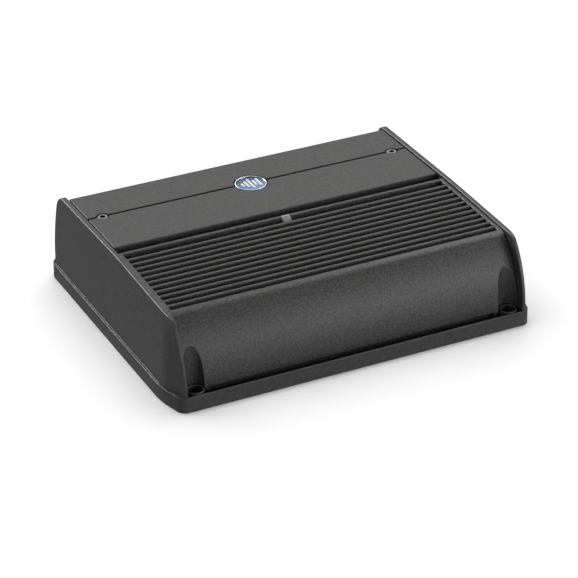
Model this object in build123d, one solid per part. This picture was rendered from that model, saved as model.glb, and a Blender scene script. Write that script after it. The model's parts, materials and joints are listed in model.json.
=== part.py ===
from build123d import *
from math import sqrt
import os

# Compact car audio amplifier, millimetres.
# X runs along the ribs to the right, Y runs to the back (the connector side), Z is up.
# The origin is in the middle of the footprint, on the surface the amplifier is screwed to.

# ---- Overall size ----
width = 220.4            # over the base rim
depth = 181.0            # over the base rim
rim_height = 9.0
rim_wall = 1.0
floor = 2.5              # thickness of the tray's floor
front_half = 105.4       # half width of the rim at the front, before its corners are rounded
rim_bend_y = -72.6       # where the sides of the rim turn in towards the front
rim_bend_radius = 58.0
front_corner = 5.6
back_corner = 9.0

# ---- Front curve, seen from the side: one centre for the end caps and the heatsink ----
curve_y = -26.6
curve_z = rim_height
cap_curve = 63.4         # radius of the end caps' front edge
face_curve = 57.4        # radius of the heatsink's front face
wall = 3.2               # heatsink wall
cap_shoulder = 8.0       # rounding where an end cap's front edge meets its lip
face_shoulder = 8.0

# ---- End caps ----
cap_inner = 101.4        # inner face, a crevice away from the heatsink
cap_front = 103.0        # outer face at the front corner
cap_lean = 0.015         # how much that corner moves out per millimetre of height
cap_side = 108.8         # outer face just above the rim
cap_bulge = 200.0        # radius of the side wall, seen from the front
cap_taper = 0.0018       # the wall leans in more towards the front
cap_bend_y = {9: -75.0, 20: -75.0, 31: -74.5, 42: -71.5, 54: -64.0}   # height: where the wall turns in
cap_bend = 3.5           # half length of that bend
cap_wall = 2.4
cap_back = 83.2
cap_back_round = 7.0     # rounding of a lip's back end
lip_top = 52.0
lip_crest = -5.0         # the lip is level behind this and falls to the front of it
lip_slope = 0.036

# ---- Heatsink ----
sink_half = 101.0
rib_zero = 50.9          # height of the rib tops at Y = 0
rib_slope = 0.031
rib_pitch = 5.44
rib_width = 1.7
rib_depth = 3.6
rib_round = 0.4          # rounding of the groove mouths
first_rib = -60.5        # centre line of the frontmost rib
narrow_ribs = 11
rib_half = 99.0          # half length of the grooves
back_rib = 1.4           # centre line of the rib that carries the light pipe
draft = 6.0              # groove walls, degrees
deck_top = 45.6          # shelf under the access cover
deck_under = deck_top - wall
deck_back = 75.2
bay_half = 84.0          # opening in the shelf
bay_front = 16.0
bay_back = 64.0
rail_back = -54.0        # inner wall that the transistors are clamped to
rail_thick = 4.0
rail_half = 88.0
rail_foot = 16.0
foot_front = -81.4       # the casting's foot stands back from its face, which leaves a dark channel
foot_back = -77.2
foot_top = 12.0

# ---- Access cover ----
cover_half = 100.6
cover_front = 8.6
cover_back = 75.6
cover_top = 51.6
cover_plate = 2.4
cover_line = 46.9        # thin decorative line that carries badge and screws
line_width = 1.7
line_depth = 1.5
cover_screw_x = 91.7
lift_gap = 0.05          # free space between the gasket and the cover

# ---- Badge ----
bezel_r = 9.3
bezel_wall = 0.7
badge_recess = 1.4
badge_gap = 0.7
bezel_top = cover_top - 0.1
disc_top = cover_top - 0.7

# ---- Mounting ----
mount_x = 95.0
mount_y = 84.5
boss_r = 4.9
boss_top = 9.8
mount_hole_r = 2.6
mount_bore_r = 4.2
mount_bore_floor = 5.5
notch_r = 5.8

# ---- Fasteners ----
m3 = 1.5                 # thread radii
m4 = 2.0
m6 = 3.0
fit = 0.03               # radial gap of a screw in its thread or of a spindle in its bush

# ---- Boards ----
board_under = 9.0
board_thick = 1.6
board_top = board_under + board_thick
board_half = 86.0
board_front = -66.0
board_back = 62.0
standoffs = [(-82, -60), (0, -60), (82, -60), (-82, -5), (82, -5), (-82, 36), (82, 36)]
sub_under = 27.0         # control board
sub_top = sub_under + board_thick
sub_half = 78.0
sub_front = 18.0
sub_back = 40.0
panel_thick = 1.5
panel_drop = 4.5         # the control panel hangs this far under the shelf
panel_top = deck_under - panel_drop
panel_under = panel_top - panel_thick

# ---- Controls ----
knob_x = [-64, -46, -28, 28, 46, 64]
knob_y = 28.0
knob_r = 4.0
knob_foot = panel_top + 0.4
knob_top = deck_top - 0.25
spindle_r = 1.5
bush_top = panel_under - 0.3
slider_x = [-13, 0, 13]
slider_y = 28.0
slider_size = 3.0
slider_travel = 2.0      # each way
slider_top = 42.0

# ---- Connectors on the back ----
back_panel = 70.0        # inner face of the rear panel
back_panel_out = back_panel + panel_thick
rear_screw_z = (17, 36)
power_x = [-74, -58, -42]
power_z = 19.5
power_front = 50.0
power_back = 66.0
wire_r = 4.0
plug_x0, plug_x1 = 36.0, 80.0
plug_z0, plug_z1 = 12.0, 28.0
plug_pitch = 10.16
plug_end = 80.0
shell_wall = 1.5
play = 0.2               # gap all round the plug in its header
rca_x = [4, 20]
rca_z = [18, 32]
rca_end = 80.0
jack_x0, jack_x1 = -24.0, -8.0

# ---- Power parts ----
transistor_count = 8
transistor_pitch = 21.0
can_r = 9.0
can_top = 38.0
can_places = [(x, y) for x in (-68, -47, -26) for y in (-26, -4)]


def block(x0, x1, y0, y1, z0, z1):
    """A box between two corners."""
    return Pos((x0 + x1) / 2, (y0 + y1) / 2, (z0 + z1) / 2) * Box(x1 - x0, y1 - y0, z1 - z0)


def post(x, y, z0, z1, r):
    """An upright cylinder."""
    return Pos(x, y, (z0 + z1) / 2) * Cylinder(r, z1 - z0)


def bar(x, z, y0, y1, r):
    """A cylinder that lies along Y."""
    return Pos(x, (y0 + y1) / 2, z) * Rot(90, 0, 0) * Cylinder(r, y1 - y0)


def tube(x, y, z0, z1, r_out, r_in):
    return post(x, y, z0, z1, r_out) - post(x, y, z0 - 1, z1 + 1, r_in)


def tube_y(x, z, y0, y1, r_out, r_in):
    return bar(x, z, y0, y1, r_out) - bar(x, z, y0 - 1, y1 + 1, r_in)


def cone(x, y, z0, z1, r0, r1):
    """An upright cone, r0 at z0 and r1 at z1."""
    return Pos(x, y, (z0 + z1) / 2) * Cone(r0, r1, z1 - z0)


def hexagon(x, y, z0, z1, across):
    """A hexagonal prism, across its flats."""
    flat = Pos(x, y, z0) * RegularPolygon(across / 2, 6, major_radius=False)
    return extrude(flat, z1 - z0)


def fused(parts):
    total = parts[0]
    for part in parts[1:]:
        total = total + part
    return total


def save(name, parts):
    """Write one node; a list becomes a group of separate solids."""
    group = parts if isinstance(parts, list) else [parts]
    solids = [solid for part in group for solid in part.solids()]
    shape = solids[0] if len(solids) == 1 else Compound(children=list(solids))
    shape.label = name
    export_step(shape, f"parts/{name}.step")


# ---- Shared outlines ----

def rim_outline(inset=0.0):
    """The footprint, pulled in by inset."""
    half, back = width / 2, depth / 2
    right = [(front_half, -back), (half, rim_bend_y), (half, back)]
    left = [(-x, y) for x, y in reversed(right)]
    face = make_face(Polyline(*right, *left, close=True))
    for y, radius in ((rim_bend_y, rim_bend_radius), (back, back_corner), (-back, front_corner)):
        face = fillet([v for v in face.vertices() if abs(v.Y - y) < 0.1], radius)
    return offset(face, -inset, kind=Kind.INTERSECTION) if inset else face


def front_point(radius, z):
    """A point (Y, Z) on the front curve."""
    return (curve_y - sqrt(radius ** 2 - (z - curve_z) ** 2), z)


def crest_point(radius, z0, slope):
    """Where the front curve meets the sloping top line Z = z0 + slope * Y."""
    k = z0 + slope * curve_y - curve_z
    a = 1 + slope ** 2
    u = (-k * slope - sqrt((k * slope) ** 2 - a * (k ** 2 - radius ** 2))) / a
    return (curve_y + u, z0 + slope * (curve_y + u))


def front_arc(radius, top_z):
    middle = (curve_z + top_z) / 2
    points = [front_point(radius, z) for z in (curve_z, middle, top_z)]
    return ThreePointArc(*points)


def side_solid(face, half):
    """A side view (Y, Z) made as wide as the amplifier."""
    return extrude(Plane.YZ * face, half, both=True)


def round_corner(face, point, radius):
    corner = sorted(face.vertices(), key=lambda v: abs(v.X - point[0]) + abs(v.Y - point[1]))[0]
    return fillet(corner, radius)


# ---- Base tray ----

def base_tray():
    tray = extrude(rim_outline(), rim_height)
    top = [e for e in tray.edges() if e.center().Z > rim_height - 0.01]
    tray = fillet(top, 0.4)
    bottom = [e for e in tray.edges() if e.center().Z < 0.01]
    tray = chamfer(bottom, 0.15)
    tray = tray - Pos(0, 0, floor) * extrude(rim_outline(rim_wall), rim_height)
    for x in (-mount_x, mount_x):
        for y in (-mount_y, mount_y):
            boss = post(x, y, 0.5, boss_top, boss_r)
            ring = [e for e in boss.edges() if e.center().Z > boss_top - 0.01]
            tray = tray + fillet(ring, 0.3)
            tray = tray - post(x, y, -1, boss_top + 1, mount_hole_r)
            tray = tray - post(x, y, mount_bore_floor, boss_top + 1, mount_bore_r)
            tray = tray - cone(x, y, boss_top - 0.25, boss_top + 0.05, mount_bore_r, mount_bore_r + 0.3)
    for x, y in standoffs:
        tray = tray + post(x, y, floor - 0.5, board_under, 3.2)
        tray = tray - post(x, y, floor, board_under + 1, m3 + fit)
    for x, y in tray_screw_places() + cap_screw_places():
        tray = tray - post(x, y, -1, floor + 1, m3 + fit) - countersink(x, y)
    return tray


def tray_screw_places():
    return [(x, y) for x in (-93, 93) for y in (-62, 66)]


def cap_screw_places():
    return [(x, y) for x in (-104.8, 104.8) for y in (-48, 60)]


def countersink(x, y):
    return cone(x, y, -0.1, 1.75, 3.25, m3 + fit)


def flat_screw(x, y, length):
    """Countersunk screw driven up from below, with a hex socket in its head."""
    screw = cone(x, y, 0.15, 1.75, 3.0, m3) + post(x, y, 1.7, 1.7 + length, m3)
    return screw - hexagon(x, y, -0.5, 1.1, 2.0)


# ---- Heatsink casting ----

def rib_top(y):
    return rib_zero + rib_slope * y


def sink_outline():
    """Outer side view of the casting, filled down to the tray's floor."""
    crest = crest_point(face_curve, rib_zero, rib_slope)
    back_edge = back_rib + rib_width / 2
    face = make_face(
        front_arc(face_curve, crest[1])
        + Polyline(crest, (back_edge, rib_top(back_edge)), (back_edge, deck_top), (deck_back, deck_top),
                   (deck_back, floor), (front_point(face_curve, curve_z)[0], floor),
                   front_point(face_curve, curve_z)))
    return round_corner(face, crest, face_shoulder)


def sink_cavity():
    inner = face_curve - wall
    top = front_point(inner, deck_under)
    foot = front_point(inner, curve_z)
    return make_face(
        front_arc(inner, deck_under)
        + Polyline(top, (deck_back + 1, deck_under), (deck_back + 1, floor - 1), (foot[0], floor - 1), foot))


def groove(y, groove_width):
    """One closed groove between ribs, its walls drafted."""
    mouth = Pos(0, y, rib_top(y) + 1) * Rectangle(2 * rib_half, groove_width + 0.2)
    return extrude(mouth, -(rib_depth + 1), taper=draft)


def heatsink():
    solid = side_solid(sink_outline(), sink_half)
    sink = solid - side_solid(sink_cavity(), sink_half + 1)
    sink = sink + block(-sink_half, sink_half, foot_front, foot_back, floor, foot_top)
    sink = sink - block(-width, width, -depth, foot_front, floor - 1, curve_z)
    for side in (-1, 1):
        sink = sink + (solid & post(side * mount_x, -mount_y, floor, 38, notch_r + 2.6))
        sink = sink - post(side * mount_x, -mount_y, floor - 1, 40, notch_r)
    for k in range(narrow_ribs):
        sink = sink - groove(first_rib - rib_pitch / 2 + k * rib_pitch, rib_pitch - rib_width)
    wide_front = first_rib + (narrow_ribs - 1) * rib_pitch + rib_width / 2
    wide_back = back_rib - rib_width / 2
    sink = sink - groove((wide_front + wide_back) / 2, wide_back - wide_front)
    mouths = [e for e in sink.edges() if on_rib_plane(e)]
    sink = fillet(mouths, rib_round)
    sink = sink - block(-3.1, 3.1, wide_back - 1, 3, rib_top(back_rib) - rib_depth, 53)
    sink = sink - block(-1.7, 1.7, back_rib - 0.9, back_rib + 0.9, deck_under - 1, 52)
    sink = sink - block(-bay_half, bay_half, bay_front, bay_back, deck_under - 1, deck_top + 1)
    rail_front = rail_back - rail_thick
    sink = sink + block(-rail_half, rail_half, rail_front, rail_back, rail_foot, deck_under + 0.5)
    for x, y in tray_screw_places():
        sink = sink + post(x, y, floor, deck_under + 0.5, 4.0) - post(x, y, floor - 1, 13, m3 + fit)
        if y > 0:
            for z in rear_screw_z:
                sink = sink - bar(x, z, y - 1, y + 5, 1.2)
    for x in (-cover_screw_x, cover_screw_x):
        sink = sink + post(x, cover_line, deck_under - 6, deck_under + 0.5, 4.4)
        sink = sink - post(x, cover_line, deck_under - 7, deck_top + 1, m4 + 0.06)
    for x in clamp_screw_places():
        sink = sink - bar(x, 28, rail_back - 3.6, rail_back + 1, m3 + fit)
    for x, y in panel_screw_places():
        sink = sink - post(x, y, deck_under - 1, deck_top + 1, m3 + fit)
        sink = sink - cone(x, y, deck_top - 1.7, deck_top + 0.05, m3 + fit, 3.3)
    return sink


def on_rib_plane(edge):
    centre = edge.center()
    inside = abs(centre.X) < rib_half + 1 and first_rib - rib_pitch < centre.Y < back_rib
    return inside and abs(centre.Z - rib_top(centre.Y)) < 0.02


# ---- End caps ----

def cap_x(z, y=0.0):
    """Half width over the end caps at a height."""
    sag = cap_bulge - sqrt(cap_bulge ** 2 - (z - rim_height) ** 2)
    return cap_side - sag * (1 - cap_taper * y)


def cap_section(z):
    """Plan view of the right end cap at one height: side, short bend, turned-in front."""
    corner = Vector(cap_x(z, cap_bend_y[z]), cap_bend_y[z])
    back = Vector(cap_x(z, cap_back), cap_back)
    side = (back - corner).normalized()
    edge = Vector(cap_front + cap_lean * (z - rim_height), front_point(cap_curve, z)[0])
    turn = (edge - corner).normalized()
    front = edge + turn * 3
    outline = (
        Line((cap_inner, front.Y), front)
        + Line(front, corner + turn * cap_bend)
        + TangentArc(corner + turn * cap_bend, corner + side * cap_bend, tangent=-turn)
        + Polyline(corner + side * cap_bend, back, (cap_inner, cap_back), (cap_inner, front.Y)))
    return Pos(0, 0, z) * make_face(outline)


def cap_profile():
    """Side view of an end cap above the rim."""
    crest = crest_point(cap_curve, lip_top - lip_slope * lip_crest, lip_slope)
    face = make_face(
        front_arc(cap_curve, crest[1])
        + Polyline(crest, (lip_crest, lip_top), (cap_back, lip_top), (cap_back, rim_height),
                   front_point(cap_curve, curve_z)))
    face = round_corner(face, (lip_crest, lip_top), 150)
    face = round_corner(face, (cap_back, lip_top), cap_back_round)
    return round_corner(face, crest, cap_shoulder)


def right_end_cap():
    shell = loft([cap_section(z) for z in cap_bend_y])
    shell = shell & side_solid(cap_profile(), width)
    rounded = [e for e in shell.edges() if cap_edge_to_round(e)]
    shell = fillet(rounded, 0.5)
    foot = Pos(0, 0, floor) * extrude(rim_outline(rim_wall + 0.1), rim_height - floor)
    foot = foot & block(cap_inner, width, -depth, cap_back, floor, rim_height)
    shell = shell + foot
    hollow = block(cap_inner - 1, cap_front, -66, cap_back - 4, floor - 1, 46)
    hollow = hollow + block(cap_inner - 1, cap_x(36) - cap_wall, -66, cap_back - 4, floor - 1, 36)
    for x, y in cap_screw_places():
        if x > 0:
            hollow = hollow - block(cap_inner, width, y - 3, y + 3, floor, 30)
            hollow = hollow + post(x, y, floor - 1, 14, m3 + fit)
    return shell - hollow


def cap_edge_to_round(edge):
    """Edges of the lip and of the front strip, but not the foot or the inner corner."""
    centre = edge.center()
    box = edge.bounding_box()
    above = box.min.Z > rim_height - 0.01 and box.max.Z > rim_height + 1
    along_profile = box.size.X < 6 and (box.size.Y > 1.5 or abs(centre.Y - cap_back) < 0.1)
    return above and along_profile


# ---- Access cover and badge ----

def access_cover():
    cover = block(-cover_half, cover_half, cover_front, cover_back, deck_top, cover_top)
    upright = [e for e in cover.edges() if e.bounding_box().size.Z > 1]
    cover = fillet(upright, 0.4)
    top = [e for e in cover.edges() if e.center().Z > cover_top - 0.01]
    cover = fillet(top, 0.6)
    inside = block(-cover_half + cover_plate, cover_half - cover_plate, cover_front + cover_plate,
                   cover_back - cover_plate, deck_top - 1, cover_top - cover_plate)
    cover = cover - inside
    cover = cover - block(-width, width, cover_line - line_width / 2, cover_line + line_width / 2,
                          cover_top - line_depth, cover_top + 1)
    for x in (-cover_screw_x, cover_screw_x):
        cover = cover + post(x, cover_line, deck_top, cover_top - 1.5, 5.4)
        cover = cover - post(x, cover_line, cover_top - 3.2, cover_top + 1, 3.75)
        cover = cover - post(x, cover_line, deck_top - 1, cover_top, m4 + 0.06)
    cover = cover + post(0, cover_line, cover_top - cover_plate - 1.5, cover_top - 1.2, bezel_r + 2)
    return cover - post(0, cover_line, cover_top - badge_recess, cover_top + 1, bezel_r + badge_gap)


def cover_screw(x):
    """Captive socket-head screw; its head sits in the cover's recess."""
    head_foot = cover_top - 3.2
    head = post(x, cover_line, head_foot, cover_top - 0.2, 3.0)
    head = chamfer([e for e in head.edges() if e.center().Z > cover_top - 0.25], 0.3)
    screw = head + post(x, cover_line, deck_under - 5, head_foot + 0.1, m4)
    return screw - hexagon(x, cover_line, head_foot + 0.8, cover_top + 1, 3.0)


def badge_bezel():
    seat = cover_top - badge_recess
    ring = tube(0, cover_line, seat, bezel_top, bezel_r, bezel_r - bezel_wall)
    return fillet([e for e in ring.edges() if e.center().Z > seat + 0.1], 0.25)


def badge_disc():
    seat = cover_top - badge_recess
    return post(0, cover_line, seat, disc_top, bezel_r - bezel_wall - 0.02)


def badge_bars():
    """Five raised bars of a plain level meter."""
    heights = [4.2, 8.0, 11.6, 6.6, 9.6]
    bars = []
    for k, height in enumerate(heights):
        x = (k - 2) * 2.5
        foot = SlotOverall(height, 1.5, rotation=90)
        bars.append(extrude(Pos(x, cover_line, disc_top) * foot, 0.3))
    return bars


def cover_gasket():
    outer = block(-bay_half - 2.2, bay_half + 2.2, bay_front - 3, bay_back + 3, deck_top,
                  cover_top - cover_plate - lift_gap)
    outer = fillet([e for e in outer.edges() if e.bounding_box().size.Z > 1], 3)
    return outer - block(-bay_half, bay_half, bay_front, bay_back, deck_top - 1, cover_top)


# ---- Light pipe and LED ----

def light_pipe():
    top = rib_top(back_rib)
    behind, ahead, toe = back_rib + rib_width / 2, back_rib - rib_width / 2, back_rib - 3.6
    outline = Polyline((behind, top + 0.1), (ahead, top + 0.1), (toe, top - 1.9), (toe, top - rib_depth),
                       (behind, top - rib_depth), close=True)
    head = side_solid(make_face(outline), 2.5)
    head = fillet([e for e in head.edges() if e.center().Z > top], 0.2)
    return head + block(-1.5, 1.5, back_rib - 0.7, back_rib + 0.7, board_top + 3, top - rib_depth + 0.1)


def status_led():
    return block(-1.6, 1.6, back_rib - 1.2, back_rib + 1.2, board_top, board_top + 1) \
        + post(0, back_rib, board_top + 0.9, board_top + 2.6, 1.0)


# ---- Boards and the controls under the cover ----

def main_board():
    board = block(-board_half, board_half, board_front, board_back, board_under, board_top)
    board = fillet([e for e in board.edges() if e.bounding_box().size.Z > 1], 2)
    for x, y in standoffs:
        board = board - post(x, y, board_under - 1, board_top + 1, m3 + 0.1)
    return board


def pan_screw(x, y, seat, length):
    """Pan-head screw driven down, with a hex socket."""
    head = post(x, y, seat, seat + 2, 2.8)
    head = fillet([e for e in head.edges() if e.center().Z > seat + 1.9], 0.7)
    return head + post(x, y, seat - length, seat + 0.1, m3) - hexagon(x, y, seat + 0.8, seat + 3, 2.0)


def spacer_places():
    return [(x, y) for x in (-74, 74) for y in (sub_front + 4, sub_back - 4)]


def control_board():
    board = block(-sub_half, sub_half, sub_front, sub_back, sub_under, sub_top)
    for x, y in spacer_places():
        board = board - post(x, y, sub_under - 1, sub_top + 1, m3 + 0.1)
    return board


def control_spacers():
    return [hexagon(x, y, board_top, sub_under, 5.0) - post(x, y, sub_under - 6, sub_under + 1, m3 + fit)
            for x, y in spacer_places()]


def panel_screw_places():
    return [(x, y) for x in (-90.5, 90.5) for y in (18, 36)]


def control_panel():
    """Face plate hung under the opening on four posts, pierced for the knobs and the slide switches."""
    panel = block(-95, 95, 12, 42, panel_under, panel_top)
    for x in knob_x:
        panel = panel - post(x, knob_y, panel_under - 1, panel_top + 1, 2.4)
    for x in slider_x:
        panel = panel - block(x - 2, x + 2, slider_y - 4.2, slider_y + 4.2, panel_under - 1, panel_top + 1)
    for x, y in panel_screw_places():
        panel = panel + post(x, y, panel_top - 0.5, deck_under, 3.4)
        panel = panel - post(x, y, panel_under - 1, deck_under + 1, m3 + fit)
    return panel


def panel_screw(x, y):
    head = cone(x, y, deck_top - 1.6, deck_top - 0.15, m3, 2.8)
    screw = head + post(x, y, panel_under + 0.5, deck_top - 1.55, m3)
    return screw - hexagon(x, y, deck_top - 1.2, deck_top + 1, 2.0)


def potentiometer(x):
    body = block(x - 4.8, x + 4.8, knob_y - 4.8, knob_y + 4.8, sub_top, sub_top + 6)
    bush = post(x, knob_y, sub_top + 5.9, bush_top, 3.0)
    return body + bush - post(x, knob_y, sub_top + 2, sub_top + 10, spindle_r + fit)


def control_knob(x):
    """Knob and spindle in one moulding, with a fluted skirt and a pointer slot."""
    knob = post(x, knob_y, knob_foot, knob_top, knob_r)
    knob = fillet([e for e in knob.edges() if e.center().Z > knob_top - 0.01], 0.5)
    for k in range(12):
        flute = Pos(x, knob_y, 0) * Rot(0, 0, 30 * k) * Pos(knob_r + 0.25, 0, 0)
        knob = knob - flute * post(0, 0, knob_foot + 1, knob_top + 1, 0.6)
    knob = knob + post(x, knob_y, sub_top + 2.2, knob_foot + 0.1, spindle_r)
    return knob - block(x - 0.5, x + 0.5, knob_y, knob_y + 3.2, knob_top - 0.8, knob_top + 1)


def switch_body(x):
    body = block(x - 3.5, x + 3.5, slider_y - 6, slider_y + 6, sub_top, sub_top + 7)
    reach = slider_size / 2 + slider_travel + 0.3
    slot_half = slider_size / 2 + 0.08
    slot = block(x - slot_half, x + slot_half, slider_y - reach, slider_y + reach, sub_top + 3, sub_top + 8)
    return body - slot


def switch_slider(x):
    half = slider_size / 2
    slider = block(x - half, x + half, slider_y - half, slider_y + half, sub_top + 3.1, slider_top)
    slider = fillet([e for e in slider.edges() if e.center().Z > slider_top - 0.1], 0.5)
    return slider - block(x - 2, x + 2, slider_y - 0.3, slider_y + 0.3, slider_top - 0.6, slider_top + 1)


# ---- Rear panel and connectors ----

def rear_panel():
    panel = block(-sink_half + 0.2, sink_half - 0.2, back_panel, back_panel_out, floor, deck_under)
    for x in power_x:
        panel = panel - bar(x, power_z, back_panel - 1, back_panel_out + 1, 6.0)
    for x in rca_x:
        for z in rca_z:
            panel = panel - bar(x, z, back_panel - 1, back_panel_out + 1, 5.2)
    panel = panel - block(plug_x0, plug_x1, back_panel - 1, back_panel_out + 1, plug_z0, plug_z1)
    panel = panel - block(jack_x0, jack_x1, back_panel - 1, back_panel_out + 1, 12, 26)
    for x, z in rear_screw_places():
        panel = panel - bar(x, z, back_panel - 1, back_panel_out + 1, 1.25)
    return panel


def rear_screw_places():
    return [(x, z) for x in (-93, 93) for z in rear_screw_z]


def socket_y(x, y, z, across):
    """Hex socket to be cut into the end of a screw that lies along Y."""
    return Pos(x, y, z) * Rot(-90, 0, 0) * extrude(RegularPolygon(across / 2, 6, major_radius=False), 2)


def rear_screw(x, z):
    head = bar(x, z, back_panel_out, back_panel_out + 1.8, 2.4)
    head = fillet([e for e in head.edges() if e.center().Y > back_panel_out + 1.7], 0.6)
    shank = bar(x, z, back_panel - 4, back_panel_out + 0.1, 1.18)
    return head + shank - socket_y(x, back_panel_out + 0.8, z, 1.7)


def wire_grommet(x):
    """Rubber ring that snaps into the rear panel."""
    ring = bar(x, power_z, back_panel - 1.4, back_panel_out + 1.6, 7.2)
    ring = fillet([e for e in ring.edges() if e.length > 40], 0.6)
    ring = ring - tube_y(x, power_z, back_panel, back_panel_out, 9, 6.0)
    return ring - bar(x, power_z, back_panel - 3, back_panel_out + 3, wire_r + 0.4)


def power_block():
    """Insulating body with a pocket for each wire clamp, open to the top and the back."""
    body = block(power_x[0] - 8, power_x[-1] + 8, power_front, power_back, board_top, 32)
    for x in power_x:
        body = body - block(x - 5.05, x + 5.05, power_front + 1.95, power_back - 1.95, board_top + 2.4, 33)
        body = body - bar(x, power_z, power_back - 3, power_back + 1, wire_r + 0.4)
    return body


def wire_clamp(x):
    clamp = block(x - 5, x + 5, power_front + 2, power_back - 2, board_top + 2.4, 29)
    clamp = clamp - bar(x, power_z, power_front + 5, power_back, wire_r)
    return clamp - post(x, clamp_screw_y(), power_z, 30, m6 + fit)


def clamp_screw_y():
    return (power_front + power_back) / 2 + 1


def set_screw(x):
    """Socket set screw that presses down on the wire."""
    screw = post(x, clamp_screw_y(), power_z + wire_r - 0.5, 29.6, m6)
    screw = chamfer([e for e in screw.edges() if e.length > 10], 0.4)
    return screw - hexagon(x, clamp_screw_y(), 26.4, 31, 3.0)


def plug_poles():
    middle = (plug_x0 + plug_x1) / 2
    return [middle + (k - 1.5) * plug_pitch for k in range(4)]


def plug_axis_z():
    return (plug_z0 + plug_z1) / 2


def speaker_header():
    header = block(plug_x0, plug_x1, 52, back_panel_out, plug_z0, plug_z1)
    header = header - block(plug_x0 + shell_wall, plug_x1 - shell_wall, 57, back_panel_out + 1,
                            plug_z0 + shell_wall, plug_z1 - shell_wall)
    for x in plug_poles():
        header = header - bar(x, plug_axis_z() - 2, 51, 58, 1.0)
        header = header + block(x - 4, x + 4, 53, 56, board_top, plug_z0 + 0.1)
    return header


def speaker_pins():
    return [bar(x, plug_axis_z() - 2, 52, 68, 1.0) for x in plug_poles()]


def speaker_plug():
    edge = shell_wall + play
    plug = block(plug_x0 + edge, plug_x1 - edge, 57.5, plug_end, plug_z0 + edge, plug_z1 - edge)
    plug = fillet([e for e in plug.edges() if e.center().Y > plug_end - 0.01], 0.6)
    for x in plug_poles():
        plug = plug - bar(x, plug_axis_z() - 2, 57, 70, 1.15)
        plug = plug - bar(x, plug_axis_z() - 2, 71, plug_end + 1, 2.4)
        plug = plug - block(x - 1.6, x + 1.6, 74, plug_end + 1, plug_axis_z() + 3, plug_axis_z() + 4.6)
    return plug


def rca_housing():
    body = block(-3, 27, 54, back_panel, board_top, 40)
    for x in rca_x:
        for z in rca_z:
            body = body + bar(x, z, back_panel - 0.5, rca_end - 1, 3.2)
            body = body - bar(x, z, back_panel, rca_end, 1.6)
    return body


def rca_shell(x, z):
    flange = tube_y(x, z, back_panel, back_panel + 1, 5.0, 3.25)
    barrel = tube_y(x, z, back_panel, rca_end, 4.15, 3.25)
    return flange + barrel


def remote_jack():
    jack = block(jack_x0, jack_x1, 56, back_panel_out, 12, 26)
    jack = jack - block(jack_x0 + 2, jack_x1 - 2, 60, back_panel_out + 1, 14.5, 22.5)
    jack = jack - block(jack_x0 + 5, jack_x1 - 5, 62, back_panel_out + 1, 22, 24.2)
    return jack + block(jack_x0 + 2, jack_x1 - 2, 57, 60, board_top, 12.1)


# ---- Power electronics ----

def clamp_screw_places():
    return [(k - 3) * transistor_pitch for k in range(1, 6)]


def transistor_places():
    return [(k - (transistor_count - 1) / 2) * transistor_pitch for k in range(transistor_count)]


def power_transistor(x):
    back = rail_back + 0.5
    body = block(x - 5, x + 5, back, back + 4.5, 20, 29)
    tab = block(x - 5, x + 5, back, back + 1.3, 28.9, 35.2) - bar(x, 32.4, back - 1, back + 2, 1.8)
    legs = []
    for leg in (x - 2.54, x, x + 2.54):
        legs.append(block(leg - 0.4, leg + 0.4, back + 2.2, back + 2.8, board_top, 20.1))
    return fused([body, tab] + legs)


def thermal_pad():
    pad = block(-84, 84, rail_back, rail_back + 0.5, 19, 36)
    for x in clamp_screw_places():
        pad = pad - bar(x, 28, rail_back - 1, rail_back + 1, m3 + 0.2)
    return pad


def clamp_bar():
    face = rail_back + 5
    beam = block(-86, 86, face, face + 3, 24, 32)
    long_edges = [e for e in beam.edges() if e.bounding_box().size.X > 100]
    beam = fillet([e for e in long_edges if e.center().Y > face + 2], 0.8)
    for x in clamp_screw_places():
        beam = beam - bar(x, 28, face - 1, face + 4, m3 + fit)
    return beam


def clamp_screw(x):
    seat = rail_back + 8
    head = bar(x, 28, seat, seat + 2.2, 2.8)
    shank = bar(x, 28, rail_back - 3.4, seat + 0.1, m3)
    return head + shank - socket_y(x, seat + 1, 28, 2.5)


def bulk_capacitor(x, y):
    can = post(x, y, board_top, can_top, can_r)
    can = fillet([e for e in can.edges() if e.center().Z > can_top - 0.01], 1.0)
    groove_ring = tube(x, y, board_top + 2.2, board_top + 3.4, can_r + 1, can_r - 0.6)
    vent = block(x - 5, x + 5, y - 0.3, y + 0.3, can_top - 0.3, can_top + 1)
    cross = block(x - 0.3, x + 0.3, y - 5, y + 5, can_top - 0.3, can_top + 1)
    return can - groove_ring - vent - cross


def toroid_core(x, y, r_out, r_in, height):
    lift = board_top + 1.7
    core = tube(x, y, lift, lift + height, r_out, r_in)
    return fillet([e for e in core.edges() if e.length > 6 and e.bounding_box().size.Z < 0.1], 0.8)


def toroid_turns(x, y, r_out, r_in, height, wire, turns, start):
    """Closed turns of round wire, each a hair away from the core."""
    gap = wire / 2 + 0.08
    lift = board_top + 1.7
    inner, outer = r_in - gap, r_out + gap
    low, high = lift - gap, lift + height + gap
    loop = Plane.XZ * RectangleRounded(outer - inner, high - low, wire)
    path = Pos((inner + outer) / 2, 0, (low + high) / 2) * loop.wire()
    section = Plane(path @ 0, z_dir=path % 0) * Circle(wire / 2)
    turn = sweep(section, path=path)
    step = (360 - start) / turns
    return [Pos(x, y, 0) * Rot(0, 0, start / 2 + k * step) * turn for k in range(turns)]


def board_chips():
    """Flat chips, each (x, y, length, width)."""
    chips = [(-6, -36, 10, 10), (-6, -20, 7, 7), (-44, 26, 14, 9), (44, 26, 14, 9), (10, 28, 9, 6)]
    chips.append((54, 44, 6, 5))
    return [Pos(x, y, board_top + 0.9) * Box(long, across, 1.8) for x, y, long, across in chips]


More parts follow.
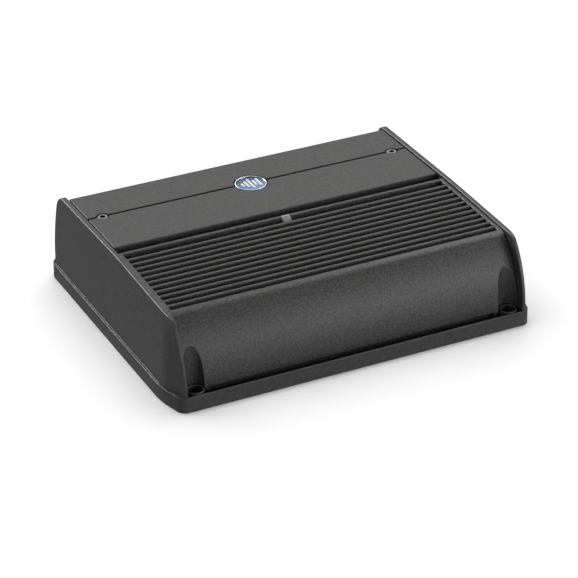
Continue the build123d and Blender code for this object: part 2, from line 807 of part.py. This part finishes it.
def main():
    os.makedirs("parts", exist_ok=True)
    save("base_tray", base_tray())
    save("heatsink", heatsink())
    cap = right_end_cap()
    save("right_end_cap", cap)
    save("left_end_cap", mirror(cap, about=Plane.YZ))
    save("access_cover", access_cover())
    save("cover_gasket", cover_gasket())
    save("cover_screw_left", cover_screw(-cover_screw_x))
    save("cover_screw_right", cover_screw(cover_screw_x))
    save("badge_bezel", badge_bezel())
    save("badge_disc", badge_disc())
    save("badge_bars", badge_bars())
    save("light_pipe", light_pipe())
    save("status_led", status_led())
    save("tray_screws", [flat_screw(x, y, 10) for x, y in tray_screw_places()])
    save("cap_screws", [flat_screw(x, y, 10) for x, y in cap_screw_places()])
    save("main_board", main_board())
    save("board_screws", [pan_screw(x, y, board_top, 6) for x, y in standoffs])
    save("board_chips", board_chips())
    save("control_board", control_board())
    save("control_spacers", control_spacers())
    save("control_board_screws", [pan_screw(x, y, sub_top, 6) for x, y in spacer_places()])
    save("control_panel", control_panel())
    save("panel_screws", [panel_screw(x, y) for x, y in panel_screw_places()])
    save("potentiometers", [potentiometer(x) for x in knob_x])
    for k, x in enumerate(knob_x, start=1):
        save(f"control_knob_{k}", control_knob(x))
    save("switch_bodies", [switch_body(x) for x in slider_x])
    for k, x in enumerate(slider_x, start=1):
        save(f"switch_slider_{k}", switch_slider(x))
    save("rear_panel", rear_panel())
    save("rear_panel_screws", [rear_screw(x, z) for x, z in rear_screw_places()])
    save("wire_grommets", [wire_grommet(x) for x in power_x])
    save("power_terminal_block", power_block())
    save("wire_clamps", [wire_clamp(x) for x in power_x])
    for k, x in enumerate(power_x, start=1):
        save(f"terminal_screw_{k}", set_screw(x))
    save("speaker_header", speaker_header())
    save("speaker_pins", speaker_pins())
    save("speaker_plug", speaker_plug())
    save("rca_housing", rca_housing())
    save("rca_shells", [rca_shell(x, z) for x in rca_x for z in rca_z])
    save("remote_jack", remote_jack())
    save("power_transistors", [power_transistor(x) for x in transistor_places()])
    save("thermal_pad", thermal_pad())
    save("clamp_bar", clamp_bar())
    save("clamp_screws", [clamp_screw(x) for x in clamp_screw_places()])
    save("bulk_capacitors", [bulk_capacitor(x, y) for x, y in can_places])
    save("power_toroid_core", toroid_core(28, -14, 18, 9, 12))
    save("power_toroid_winding", toroid_turns(28, -14, 18, 9, 12, 1.4, 26, 20))
    chokes = [(66, -28), (66, 6)]
    save("choke_cores", [toroid_core(x, y, 10, 5, 9) for x, y in chokes])
    save("choke_windings", [t for x, y in chokes for t in toroid_turns(x, y, 10, 5, 9, 1.2, 16, 30)])


main()
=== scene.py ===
"""Looks for the car amplifier: materials, printed marks, floor, soft studio light and camera.

Everything is in metres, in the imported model's frame: X to the right along the ribs, Y to the back, Z up.
"""
import json
from math import cos, pi, radians, sin

import bmesh
import bpy
from mathutils import Matrix, Vector


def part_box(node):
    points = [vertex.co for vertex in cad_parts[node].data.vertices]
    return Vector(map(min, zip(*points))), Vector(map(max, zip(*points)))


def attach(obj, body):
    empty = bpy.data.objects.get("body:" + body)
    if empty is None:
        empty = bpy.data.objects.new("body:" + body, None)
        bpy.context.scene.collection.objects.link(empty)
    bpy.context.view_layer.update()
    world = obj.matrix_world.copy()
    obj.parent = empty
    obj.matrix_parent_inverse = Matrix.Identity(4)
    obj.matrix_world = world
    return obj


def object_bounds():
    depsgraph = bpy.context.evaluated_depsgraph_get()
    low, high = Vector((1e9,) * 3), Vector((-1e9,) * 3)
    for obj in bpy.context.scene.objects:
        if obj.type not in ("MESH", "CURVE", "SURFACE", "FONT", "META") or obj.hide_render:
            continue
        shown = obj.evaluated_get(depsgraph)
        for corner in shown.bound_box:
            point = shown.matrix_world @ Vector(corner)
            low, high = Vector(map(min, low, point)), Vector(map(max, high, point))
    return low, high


MM = 0.001

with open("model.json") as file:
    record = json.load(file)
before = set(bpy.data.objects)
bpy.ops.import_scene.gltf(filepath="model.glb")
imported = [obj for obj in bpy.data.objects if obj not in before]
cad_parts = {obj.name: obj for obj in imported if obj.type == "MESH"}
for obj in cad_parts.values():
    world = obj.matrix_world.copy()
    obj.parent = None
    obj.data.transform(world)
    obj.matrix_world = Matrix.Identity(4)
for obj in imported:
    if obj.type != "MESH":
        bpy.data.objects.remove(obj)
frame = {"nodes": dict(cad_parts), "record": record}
cad_low, cad_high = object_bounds()


# ---- Node trees ----

class Look:
    """One material. Each method adds nodes round the Principled shader and returns the socket to use next."""

    def __init__(self, name, **settings):
        self.material = bpy.data.materials.new(name)
        self.material.use_nodes = True
        tree = self.material.node_tree
        self.nodes, self.links = tree.nodes, tree.links
        self.shader = self.nodes["Principled BSDF"]
        self.place = self.nodes.new("ShaderNodeTexCoord").outputs["Object"]
        self.rounded = None
        for setting, value in settings.items():
            self.feed(setting.replace("_", " ").title().replace("Ior", "IOR"), value)

    def feed(self, socket, value):
        """Links a socket's value, or sets it where it is the same all over."""
        target = self.shader.inputs[socket]
        if isinstance(value, bpy.types.NodeSocket):
            self.links.new(value, target)
        elif target.type == "RGBA":
            target.default_value = (*value, 1)
        else:
            target.default_value = value
        return self

    def add(self, kind, **inputs):
        """A node with its inputs linked or set, by name."""
        node = self.nodes.new("ShaderNode" + kind)
        for name, value in inputs.items():
            target = node.inputs[name]
            if isinstance(value, bpy.types.NodeSocket):
                self.links.new(value, target)
            else:
                target.default_value = value
        return node

    def stretched(self, scale):
        """Object coordinates, squeezed by a factor on each axis."""
        return self.add("Mapping", Vector=self.place, Scale=scale).outputs["Vector"]

    def noise(self, size, detail=2.0, scale=(1, 1, 1)):
        """Cloudy noise, 0 to 1, with blobs about this size in millimetres."""
        node = self.add("TexNoise", Vector=self.stretched(scale), Scale=1 / (size * MM), Detail=detail)
        return node.outputs["Fac"]

    def cells(self, size, output="Distance"):
        """Random cells about this size in millimetres."""
        return self.add("TexVoronoi", Vector=self.place, Scale=1 / (size * MM)).outputs[output]

    def bands(self, pitch, axis):
        """Waves along an axis, a pitch in millimetres apart."""
        node = self.add("TexWave", Vector=self.place, Scale=pi / 10 / (pitch * MM))
        node.bands_direction = axis
        return node.outputs["Fac"]

    def between(self, axis, low, high):
        """0 at one place on an axis, 1 at another, in metres."""
        along = self.add("SeparateXYZ", Vector=self.place).outputs[axis]
        node = self.add("MapRange", Value=along)
        node.inputs["From Min"].default_value = low
        node.inputs["From Max"].default_value = high
        return node.outputs["Result"]

    def ramp(self, factor, *stops):
        """Colour or grey along a factor; each stop is (position, value)."""
        node = self.add("ValToRGB", Fac=factor)
        elements = node.color_ramp.elements
        while len(elements) < len(stops):
            elements.new(0.5)
        for element, (position, value) in zip(elements, stops):
            element.position = position
            element.color = (*value, 1) if isinstance(value, tuple) else (value, value, value, 1)
        return node.outputs["Color"]

    def math(self, operation, a, b):
        """Sum, product and the like of two sockets or numbers."""
        node = self.nodes.new("ShaderNodeMath")
        node.operation = operation
        for target, value in zip(node.inputs, (a, b)):
            if isinstance(value, bpy.types.NodeSocket):
                self.links.new(value, target)
            else:
                target.default_value = value
        return node.outputs["Value"]

    def mix(self, factor, a, b, blend="MIX"):
        """Blend of two colours; each is a socket or a fixed colour."""
        node = self.nodes.new("ShaderNodeMix")
        node.data_type = "RGBA"
        node.blend_type = blend
        self.links.new(factor, node.inputs["Factor"])
        for key, value in ((6, a), (7, b)):
            if isinstance(value, bpy.types.NodeSocket):
                self.links.new(value, node.inputs[key])
            else:
                node.inputs[key].default_value = (*value, 1)
        return node.outputs[2]

    def round_edges(self, radius):
        """Softens sharp edges in the shading by a radius in millimetres."""
        node = self.add("Bevel", Radius=radius * MM)
        node.samples = 6
        self.rounded = node.outputs["Normal"]
        return self

    def edge_mask(self):
        """1 along rounded edges, 0 on flats."""
        flat = self.nodes.new("ShaderNodeNewGeometry").outputs["Normal"]
        node = self.nodes.new("ShaderNodeVectorMath")
        node.operation = "DOT_PRODUCT"
        self.links.new(self.rounded, node.inputs[0])
        self.links.new(flat, node.inputs[1])
        return self.ramp(node.outputs["Value"], (0.86, 1.0), (0.985, 0.0))

    def lengthwise_highlight_edges(self):
        """Mask for a painted highlight: 1 where a rounded edge runs from front to back, seen from how its
        normal leans over to the side.
        """
        normal = self.add("SeparateXYZ", Vector=self.nodes["Texture Coordinate"].outputs["Normal"]).outputs
        lean = self.math("MULTIPLY", self.math("ABSOLUTE", normal["X"], 0), normal["Z"])
        return self.ramp(lean, (0.22, 0.0), (0.40, 1.0))

    def groove(self, y, z):
        """Mask for painted shade: 1 inside the narrow line that runs along X at this Y, under a top face at
        this Z, in metres.
        """
        reach = 1.2 * MM
        front = self.between("Y", y - reach, y - reach + 0.1 * MM)
        back = self.between("Y", y + reach, y + reach - 0.1 * MM)
        under = self.between("Z", z - 0.1 * MM, z - 0.3 * MM)
        return self.math("MULTIPLY", self.math("MULTIPLY", front, back), under)

    def bump(self, height, depth, strength=1.0, under=None):
        """Relief of a depth in millimetres, laid over another relief."""
        node = self.add("Bump", Height=height, Distance=depth * MM, Strength=strength)
        base = under or self.rounded
        if base:
            self.links.new(base, node.inputs["Normal"])
        self.feed("Normal", node.outputs["Normal"])
        return node.outputs["Normal"]


def powder_coat(name, dark, light, wear_and_highlight_colour, grain=0.55, blotch=1.9, wrinkle=0.6, wear_and_highlight_amount=1.0, line=None):
    """Satin powder coat: fine wrinkle and mottle; rounded edges paler and smoother, partly abraded paint and
    partly a painted highlight, strongest on the edges that run front to back.

    Grain and blotch are sizes in millimetres. A line is the (Y, top Z) of a groove along X, whose walls and
    floor get painted shade, near black.
    """
    look = Look(name, specular_ior_level=0.5).round_edges(0.45)
    fine = look.noise(grain, 3.0)
    mottle = look.noise(blotch, 2.0)
    speckle = look.math("ADD", look.math("MULTIPLY", fine, 0.35), look.math("MULTIPLY", mottle, 0.65))
    colour = look.ramp(speckle, (0.40, dark), (0.60, light))
    colour = look.mix(look.ramp(look.noise(18, 2.0), (0.35, 0.0), (0.7, 0.10)), colour, light)
    wear_and_highlight_edges = look.math("MAXIMUM", look.edge_mask(), look.lengthwise_highlight_edges())
    patchy = look.ramp(look.noise(3.5, 4.0), (0.35, 0.6 * wear_and_highlight_amount), (0.62, 0.9 * wear_and_highlight_amount))
    wear_and_highlight = look.math("MULTIPLY", wear_and_highlight_edges, patchy)
    # Painted highlight together with abraded paint: rounded edges turn paler.
    colour = look.mix(wear_and_highlight, colour, wear_and_highlight_colour)
    if line:
        # Painted shade: near black inside the groove, and on the counterbore walls round the cover screws
        # next to it.
        colour = look.mix(look.groove(*line), colour, (0.006, 0.006, 0.006))
    look.feed("Base Color", colour)
    satin = look.ramp(look.noise(1.3, 3.0), (0.3, 0.42), (0.7, 0.54))
    look.feed("Roughness", look.math("SUBTRACT", satin, look.math("MULTIPLY", wear_and_highlight, 0.20)))
    relief = look.bump(fine, 0.05, wrinkle)
    look.bump(mottle, 0.05, 0.35, under=relief)
    return look.material


def moulded(name, dark, light, roughness=0.45, grain=0.35, **settings):
    """Moulded plastic with a fine spark-eroded texture."""
    look = Look(name, **settings)
    fine = look.noise(grain, 2.0)
    cloud = look.noise(9, 3.0)
    look.feed("Base Color", look.ramp(cloud, (0.3, dark), (0.7, light)))
    look.feed("Roughness", look.ramp(fine, (0.3, roughness - 0.07), (0.7, roughness + 0.08)))
    look.bump(fine, 0.02, 0.4)
    return look.material


def plated(name, dark, light, roughness, scratch=(1, 1, 1), top=None, **settings):
    """Metal with tarnish clouds and hairline tool marks; given its top, a Z in metres, everything a little
    way under it gets painted shade, near black, as down in a counterbore.
    """
    look = Look(name, metallic=1.0, **settings).round_edges(0.15)
    cloud = look.noise(4, 4.0)
    lines = look.noise(0.35, 3.0, scratch)
    colour = look.ramp(cloud, (0.35, dark), (0.65, light))
    if top:
        # Painted shade: near black below the top.
        under = look.between("Z", top - 0.15 * MM, top - 0.45 * MM)
        colour = look.mix(under, colour, (0.008, 0.008, 0.008))
    look.feed("Base Color", colour)
    look.feed("Roughness", look.ramp(lines, (0.3, roughness - 0.08), (0.7, roughness + 0.12)))
    look.bump(lines, 0.008, 0.5)
    return look.material


def circuit_board(name):
    """Green solder mask over copper traces, with plated vias."""
    look = Look(name, coat_weight=0.4, coat_roughness=0.15)
    patch = look.cells(9, "Color")
    choose = look.ramp(patch, (0.45, 0.0), (0.55, 1.0))
    traces = look.mix(choose, look.bands(1.3, "X"), look.bands(1.3, "Y"))
    copper = look.ramp(traces, (0.50, 0.0), (0.62, 1.0))
    spots = look.cells(3.4)
    via = look.ramp(spots, (0.11, 1.0), (0.14, 0.0))
    green = look.mix(copper, (0.010, 0.075, 0.035), (0.022, 0.130, 0.058))
    look.feed("Base Color", look.mix(via, green, (0.52, 0.50, 0.44)))
    look.feed("Metallic", via)
    look.feed("Roughness", look.ramp(look.noise(2, 3.0), (0.3, 0.30), (0.7, 0.42)))
    look.bump(copper, 0.03, 0.6)
    return look.material


def capacitor_sleeve(name):
    """Shrunk plastic sleeve on the wall, bare aluminium on the flat top."""
    look = Look(name)
    upward = look.add("SeparateXYZ", Vector=look.nodes["Texture Coordinate"].outputs["Normal"]).outputs["Z"]
    top = look.ramp(upward, (0.90, 0.0), (0.97, 1.0))
    wrinkles = look.noise(1.2, 3.0, (1, 1, 0.25))
    sleeve = look.ramp(look.noise(6, 3.0), (0.3, (0.012, 0.014, 0.022)), (0.7, (0.022, 0.025, 0.036)))
    look.feed("Base Color", look.mix(top, sleeve, (0.62, 0.62, 0.63)))
    look.feed("Metallic", top)
    look.feed("Roughness", look.ramp(wrinkles, (0.3, 0.22), (0.7, 0.34)))
    look.bump(wrinkles, 0.03, 0.4)
    return look.material


def enamelled_wire(name):
    look = Look(name, metallic=0.85, coat_weight=0.6, coat_roughness=0.12)
    dark, light = (0.42, 0.13, 0.045), (0.62, 0.24, 0.09)
    look.feed("Base Color", look.ramp(look.noise(3, 3.0), (0.3, dark), (0.7, light)))
    look.feed("Roughness", look.ramp(look.noise(0.8, 3.0), (0.3, 0.22), (0.7, 0.36)))
    look.bump(look.noise(0.6, 2.0), 0.01, 0.4)
    return look.material


def frosted(name):
    """Milky light pipe: diffuses light and lets some through."""
    look = Look(name, subsurface_weight=0.5, subsurface_scale=1.0 * MM, transmission_weight=0.15)
    dark, light = (0.27, 0.28, 0.28), (0.34, 0.35, 0.35)
    look.feed("Base Color", look.ramp(look.noise(1.5, 3.0), (0.3, dark), (0.7, light)))
    look.feed("Roughness", look.ramp(look.noise(0.4, 2.0), (0.3, 0.30), (0.7, 0.45)))
    look.bump(look.noise(0.3, 2.0), 0.01, 0.4)
    return look.material


def enamel(name, dark, light, back=0.0, front=1.0, **settings):
    """Badge enamel under a clear coat; its colour goes from dark at one Y to light at another, in metres."""
    look = Look(name, coat_weight=0.25, coat_roughness=0.2, **settings)
    cloud = look.math("MULTIPLY", look.noise(2.4, 3.0), 0.8)
    shade = look.math("ADD", look.between("Y", back, front), look.math("SUBTRACT", cloud, 0.4))
    look.feed("Base Color", look.ramp(shade, (0.1, dark), (0.9, light)))
    look.feed("Roughness", look.ramp(look.noise(0.5, 2.0), (0.3, 0.40), (0.7, 0.52)))
    look.bump(look.noise(2.0, 2.0), 0.02, 0.2)
    return look.material


def middle(node):
    low_corner, high_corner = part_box(node)
    return (low_corner + high_corner) / 2


line_y = middle("badge_disc").y  # the cover's groove runs through the badge
# The third colour goes on rounded edges: abraded paint together with a painted highlight.
COAT_DARK, COAT_LIGHT, COAT_WEAR_AND_HIGHLIGHT = (0.036, 0.036, 0.035), (0.054, 0.0535, 0.052), (0.12, 0.12, 0.118)
LOOKS = {
    "charcoal_coat": powder_coat("charcoal_coat", COAT_DARK, COAT_LIGHT, COAT_WEAR_AND_HIGHLIGHT),
    "tray_coat": powder_coat(
        "tray_coat", (0.030, 0.030, 0.029), (0.046, 0.046, 0.045), COAT_WEAR_AND_HIGHLIGHT, grain=0.45),
    "dark_screw": plated("dark_screw", (0.20, 0.20, 0.20), (0.30, 0.30, 0.295), 0.36),
    "plain_screw": plated("plain_screw", (0.50, 0.50, 0.49), (0.66, 0.65, 0.62), 0.30),
    "badge_rim": plated("badge_rim", (0.72, 0.73, 0.75), (0.86, 0.86, 0.87), 0.22),
    "badge_blue": enamel(
        "badge_blue", (0.008, 0.030, 0.13), (0.10, 0.22, 0.42), line_y + 7 * MM, line_y - 7 * MM),
    "badge_white": enamel("badge_white", (0.66, 0.69, 0.73), (0.85, 0.86, 0.88)),
    "frosted_window": frosted("frosted_window"),
    "led": moulded("led", (0.75, 0.74, 0.66), (0.85, 0.84, 0.78), 0.25, transmission_weight=0.3),
    "circuit_board": circuit_board("circuit_board"),
    "chip_black": moulded("chip_black", (0.014, 0.014, 0.015), (0.024, 0.024, 0.025), 0.58, 0.12),
    "panel_black": moulded("panel_black", (0.020, 0.020, 0.021), (0.030, 0.030, 0.031), 0.50, 0.30),
    "black_plastic": moulded("black_plastic", (0.018, 0.018, 0.019), (0.028, 0.028, 0.029), 0.42),
    "grey_plastic": moulded("grey_plastic", (0.10, 0.105, 0.11), (0.14, 0.145, 0.15), 0.45),
    "knob_plastic": moulded("knob_plastic", (0.030, 0.030, 0.032), (0.045, 0.045, 0.047), 0.48, 0.25),
    "switch_white": moulded("switch_white", (0.62, 0.62, 0.59), (0.74, 0.74, 0.71), 0.40, 0.25),
    "seal_rubber": moulded("seal_rubber", (0.012, 0.012, 0.012), (0.022, 0.022, 0.022), 0.72, 0.5),
    "pad_grey": moulded("pad_grey", (0.34, 0.36, 0.38), (0.44, 0.46, 0.47), 0.75, 0.6),
    "brass": plated("brass", (0.60, 0.42, 0.17), (0.76, 0.56, 0.26), 0.28, (1, 0.1, 1)),
    "nickel": plated("nickel", (0.56, 0.55, 0.52), (0.70, 0.68, 0.65), 0.22),
    "green_plastic": moulded("green_plastic", (0.020, 0.19, 0.055), (0.035, 0.26, 0.085), 0.40),
    "capacitor_sleeve": capacitor_sleeve("capacitor_sleeve"),
    "ferrite": moulded("ferrite", (0.030, 0.029, 0.028), (0.055, 0.053, 0.050), 0.62, 0.4),
    "copper_wire": enamelled_wire("copper_wire"),
    "bare_aluminium": plated("bare_aluminium", (0.62, 0.63, 0.64), (0.74, 0.74, 0.75), 0.34, (0.08, 1, 1)),
}

screw_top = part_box("cover_screw_left")[1].z
cover_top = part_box("access_cover")[1].z
# The cover screws get painted shade, near black, on the sides of their heads down in the counterbores.
cover_screw = plated("cover_screw", (0.20, 0.20, 0.20), (0.30, 0.30, 0.295), 0.52, top=screw_top)
VARIANTS = {  # nodes that look a little different from the rest of their slot: coarser grain on the heatsink, painted shade in the cover's groove and on the cover screws, a fainter painted highlight and less abraded paint on the cover's edges
    "heatsink": powder_coat(
        "heatsink_coat", (0.024, 0.024, 0.023), (0.064, 0.0635, 0.062), COAT_WEAR_AND_HIGHLIGHT,
        grain=0.75, blotch=1.1, wrinkle=1.0),
    "access_cover": powder_coat(
        "cover_coat", COAT_DARK, COAT_LIGHT, (0.060, 0.060, 0.059), wear_and_highlight_amount=0.1, line=(line_y, cover_top)),
    "cover_screw_left": cover_screw,
    "cover_screw_right": cover_screw,
}


def paint(piece, look):
    piece.data.materials.clear()
    piece.data.materials.append(look)


for part in frame["record"]["subparts"]:
    name, slot = part["node"], part["material_slot"]
    paint(frame["nodes"][name], VARIANTS.get(name, LOOKS[slot]))


def placed(name, data, place=(0, 0, 0), aim=None):
    thing = bpy.data.objects.new(name, data)
    thing.location = place
    if aim:
        thing.rotation_euler = (Vector(aim) - Vector(place)).to_track_quat("-Z", "Y").to_euler()
    bpy.context.scene.collection.objects.link(thing)
    return thing


# ---- Printed marks ----

INK = 0.04 * MM           # how far the ink stands out of its face
STROKE = 0.4 * MM         # width of a printed line
TICK = 1.1 * MM           # length of a dial tick, and its distance from the knob
SWITCH_TICK = 2.4 * MM
SWITCH_END = 5.4 * MM     # from the middle of a slide switch to its ticks
SIGN = 2.8 * MM           # size of the plus and the minus
SIGN_GAP = 2.6 * MM       # from a power entry's grommet up to its sign
FIRST_TICK, TICK_STEP, TICKS = -60, 30, 11  # degrees, degrees, count


def face_level(node, axis):
    """Where a node's largest flat face towards + on this axis lies."""
    faces = [face for face in frame["nodes"][node].data.polygons if face.normal[axis] > 0.99]
    return max(faces, key=lambda face: face.area).center[axis]


def printed(name, strokes, right, up):
    """Thin closed bars on a face of the chassis; a stroke is (centre, length, width, angle in the face)."""
    right, up = Vector(right), Vector(up)
    out = right.cross(up)
    shape = bmesh.new()
    for centre, length, width, angle in strokes:
        along = cos(angle) * right + sin(angle) * up
        turn = Matrix((along * length / 2, out.cross(along) * width / 2, out * INK)).transposed().to_4x4()
        bmesh.ops.create_cube(shape, size=2, matrix=Matrix.Translation(centre) @ turn)
    mesh = bpy.data.meshes.new(name)
    shape.to_mesh(mesh)
    shape.free()
    piece = placed(name, mesh)
    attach(piece, "chassis")
    paint(piece, LOOKS["switch_white"])


def dial_ticks():
    """Eleven ticks round each knob, over the 300 degrees it turns."""
    level = face_level("control_panel", 2)
    strokes = []
    for number in range(1, 7):
        low_corner, high_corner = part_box(f"control_knob_{number}")
        centre = middle(f"control_knob_{number}")
        reach = (high_corner.x - low_corner.x) / 2 + TICK
        for step in range(TICKS):
            angle = radians(FIRST_TICK + TICK_STEP * step)
            place = Vector((centre.x + reach * cos(angle), centre.y + reach * sin(angle), level))
            strokes.append((place, TICK, STROKE, angle))
    return strokes


def switch_ticks():
    """A tick at both ends of each slide switch."""
    level = face_level("control_panel", 2)
    centre_y = middle("switch_bodies").y
    strokes = []
    for number in range(1, 4):
        x = middle(f"switch_slider_{number}").x
        for end in (-SWITCH_END, SWITCH_END):
            strokes.append((Vector((x, centre_y + end, level)), SWITCH_TICK, STROKE, 0))
    return strokes


def polarity_marks():
    """A plus and a minus over two of the power entries."""
    level = face_level("rear_panel", 1)
    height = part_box("wire_grommets")[1].z + SIGN_GAP
    plus, minus = [Vector((middle(f"terminal_screw_{number}").x, level, height)) for number in (1, 2)]
    return [(plus, SIGN, STROKE, 0), (plus, SIGN, STROKE, pi / 2), (minus, SIGN, STROKE, 0)]


printed("dial_marks", dial_ticks() + switch_ticks(), (1, 0, 0), (0, 1, 0))
printed("polarity_marks", polarity_marks(), (-1, 0, 0), (0, 0, 1))


# ---- Floor, light and camera ----

MIDDLE = (0, 0, 0.03)
SOFTBOXES = [  # name, place, size, watts
    ("overhead", (-0.10, 0.10, 1.50), (1.6, 1.4), 3.9),
    ("right", (0.90, 0.30, 1.20), (0.8, 0.8), 12.1),
    ("front", (0.30, -1.45, 0.35), (0.9, 0.5), 1.6),
    ("low_front", (0.20, -1.50, 0.12), (1.2, 0.3), 2.4),
    ("left", (-1.30, -0.60, 0.40), (0.6, 0.5), 2.2),
    ("front_right", (1.00, -1.20, 0.40), (0.8, 0.5), 9.1),
    ("back", (0.60, 1.50, 0.90), (1.4, 0.6), 4.5),
    ("back_left", (-0.70, 1.40, 0.90), (1.0, 0.6), 26.6),
]


def floor():
    """A wide pale floor just under the base. Only the camera sees it, so it sends no light up."""
    half, under = 8.0, cad_low.z - 0.05 * MM
    mesh = bpy.data.meshes.new("floor")
    corners = [(-half, -half, under), (half, -half, under), (half, half, under), (-half, half, under)]
    mesh.from_pydata(corners, [], [(0, 1, 2, 3)])
    look = Look("floor_paper", specular_ior_level=0.2)
    grain = look.noise(25, 2.0)
    look.feed("Base Color", look.ramp(grain, (0.3, (0.90, 0.90, 0.90)), (0.7, (0.915, 0.915, 0.915))))
    look.feed("Roughness", look.ramp(grain, (0.3, 0.70), (0.7, 0.80)))
    mesh.materials.append(look.material)
    plane = placed("floor", mesh)
    plane.visible_diffuse = plane.visible_glossy = plane.visible_shadow = False
    return plane


def limit(lamp, plane, state):
    """Lights only the floor (INCLUDE) or all but the floor (EXCLUDE)."""
    group = bpy.data.collections.new(lamp.name + "_reach")
    group.objects.link(plane)
    group.collection_objects[0].light_linking.link_state = state
    lamp.light_linking.receiver_collection = group


def surround(below):
    """White to look at, but as a light only a glow from under the horizon, as from a white table."""
    world = bpy.data.worlds.new("studio")
    world.use_nodes = True
    nodes, links = world.node_tree.nodes, world.node_tree.links
    height = nodes.new("ShaderNodeSeparateXYZ")
    links.new(nodes.new("ShaderNodeTexCoord").outputs["Generated"], height.inputs["Vector"])
    level = nodes.new("ShaderNodeMapRange")
    for name, value in (("From Min", -0.15), ("From Max", 0.15), ("To Min", below), ("To Max", 0)):
        level.inputs[name].default_value = value
    links.new(height.outputs["Z"], level.inputs["Value"])
    light = nodes["Background"]
    links.new(level.outputs["Result"], light.inputs["Strength"])
    backdrop = nodes.new("ShaderNodeBackground")
    for shader in (light, backdrop):
        shader.inputs["Color"].default_value = (1, 1, 1, 1)
    choice = nodes.new("ShaderNodeMixShader")
    links.new(nodes.new("ShaderNodeLightPath").outputs["Is Camera Ray"], choice.inputs["Fac"])
    links.new(light.outputs["Background"], choice.inputs[1])
    links.new(backdrop.outputs["Background"], choice.inputs[2])
    links.new(choice.outputs["Shader"], nodes["World Output"].inputs["Surface"])
    bpy.context.scene.world = world


def studio(plane):
    """Softboxes for the amplifier, and an even wash for the floor that leaves a soft contact shadow."""
    bpy.context.scene.view_settings.view_transform = "Standard"
    surround(below=0.36)
    for name, place, size, watts in SOFTBOXES:
        data = bpy.data.lights.new(name, "AREA")
        data.shape = "RECTANGLE"
        data.size, data.size_y = size
        data.energy = watts
        limit(placed(name, data, place, MIDDLE), plane, "EXCLUDE")
    wash = bpy.data.lights.new("wash", "SUN")
    wash.energy = 4.1
    wash.angle = radians(98)
    limit(placed("wash", wash, (0.02, 0.40, 1), (0, 0, 0)), plane, "INCLUDE")


def camera():
    """Long lens from the front left, above the amplifier."""
    azimuth, elevation, roll = radians(-25.52), radians(28.73), radians(-0.9)
    distance, shift_x, shift_y = 1382.89 * MM, 1.05 * MM, -13.42 * MM
    back = Vector((sin(azimuth) * cos(elevation), -cos(azimuth) * cos(elevation), sin(elevation)))
    level = Vector((cos(azimuth), sin(azimuth), 0))
    upright = back.cross(level)
    right = cos(roll) * level + sin(roll) * upright
    up = -sin(roll) * level + cos(roll) * upright
    target = Vector((0, 0, 20 * MM))
    place = target + distance * back + shift_x * right + shift_y * up
    data = bpy.data.cameras.new("camera")
    data.lens, data.sensor_width = 152.2, 36
    data.clip_start, data.clip_end = 0.05, 50
    eye = placed("camera", data)
    eye.matrix_world = Matrix.Translation(place) @ Matrix((right, up, back)).transposed().to_4x4()
    bpy.context.scene.camera = eye


studio(floor())
camera()
